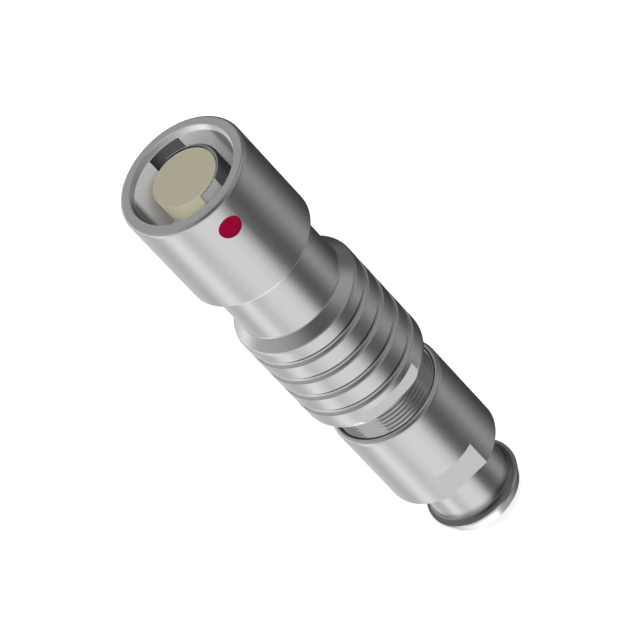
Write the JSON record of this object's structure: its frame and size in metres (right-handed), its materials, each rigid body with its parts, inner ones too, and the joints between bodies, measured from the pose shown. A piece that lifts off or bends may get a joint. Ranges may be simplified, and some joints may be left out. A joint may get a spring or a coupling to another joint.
{
  "type": "circular push-pull connector",
  "caption": "Cable-mounted push-pull socket: keyed half-moon insert in a plated barrel, grooved grip with spanner flats, and a collet nut that screws up to clamp the cable.",
  "frame": {"origin": "centre of the tail's rear face, which the connector stands on", "axes": "+Z along the connector's axis towards the mouth, -Y towards the alignment dot, +X towards the half-moon sleeve"},
  "size_m": [0.013, 0.013, 0.0536],
  "materials": {
    "plated_shell": "satin nickel-chrome plate on turned brass",
    "plated_nut": "satin nickel-chrome plate on turned brass",
    "plated_inner": "bright nickel plate on turned brass",
    "crown_nickel": "nickel-plated spring bronze",
    "contact_gold": "gold plate on turned brass",
    "dot_enamel": "red filled enamel",
    "insulator_plastic": "machined beige engineering plastic",
    "seal_rubber": "black O-ring",
    "gasket_silicone": "red-brown silicone",
    "washer_steel": "stamped stainless steel"
  },
  "bodies": {
    "shell": {"outer_shell": "plated_shell", "alignment_dot": "dot_enamel", "latch_sleeve": "plated_inner", "half_moon_sleeve": "plated_inner", "earthing_crown": "crown_nickel", "insulator": "insulator_plastic", "insulator_back": "insulator_plastic", "contact_1": "contact_gold", "contact_2": "contact_gold", "contact_3": "contact_gold", "contact_4": "contact_gold", "insert_seal": "seal_rubber", "carrier_left": "plated_inner", "carrier_right": "plated_inner", "carrier_lock_ring": "plated_inner"},
    "clamp": {"clamp_collet": "plated_inner", "gland_washer_front": "washer_steel", "gland_washer_rear": "washer_steel", "cable_gasket": "gasket_silicone"},
    "nut": {"collet_nut": "plated_nut"}
  },
  "joints": [
    {"name": "clamp_slide", "type": "slide", "parent": "shell", "child": "clamp", "axis": [0, 0, 1], "range_m": [-0.0036, 0.0027]},
    {"name": "nut_turn", "type": "hinge", "parent": "clamp", "child": "nut", "pos_m": [0, 0, 0.01], "axis": [0, 0, 1], "range_deg": [-2520, 1872]}
  ],
  "couplings": [
    {"joint": "clamp_slide", "follows": "nut_turn", "m_per_rad": 0.000079577}
  ]
}
